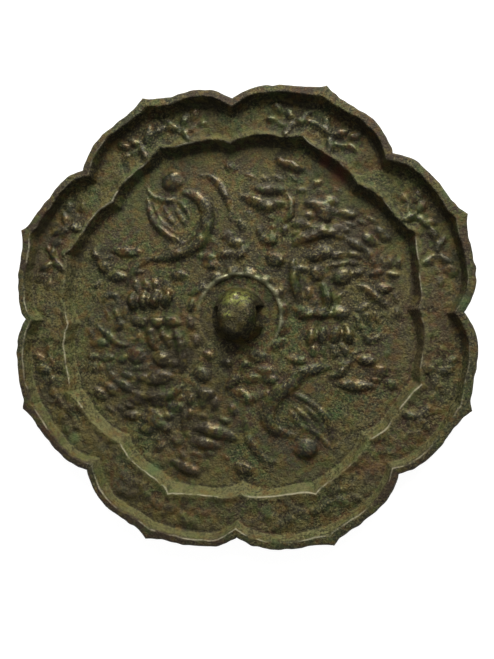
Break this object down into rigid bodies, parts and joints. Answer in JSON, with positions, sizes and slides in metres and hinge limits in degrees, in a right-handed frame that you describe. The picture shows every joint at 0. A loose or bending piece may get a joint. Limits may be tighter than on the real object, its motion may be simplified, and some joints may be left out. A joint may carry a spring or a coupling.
{
  "type": "ancient bronze mirror",
  "caption": "Cast bronze hand mirror, lobed outline with notches, stepped band, relief of birds and flowers on the back, and a pierced knob at the centre.",
  "frame": {"origin": "middle of the flat reflecting face, which lies on the floor", "axes": "+Z out of the carved back; +X along the knob's cord hole, through two opposite notches; +Y up the back as it is seen in the picture"},
  "size_m": [0.1322, 0.1322, 0.0114],
  "materials": {
    "bronze": "worn olive-brown bronze patina with dark pits and green patches"
  },
  "bodies": {
    "root": {"bronze_mirror": "bronze"}
  },
  "joints": []
}
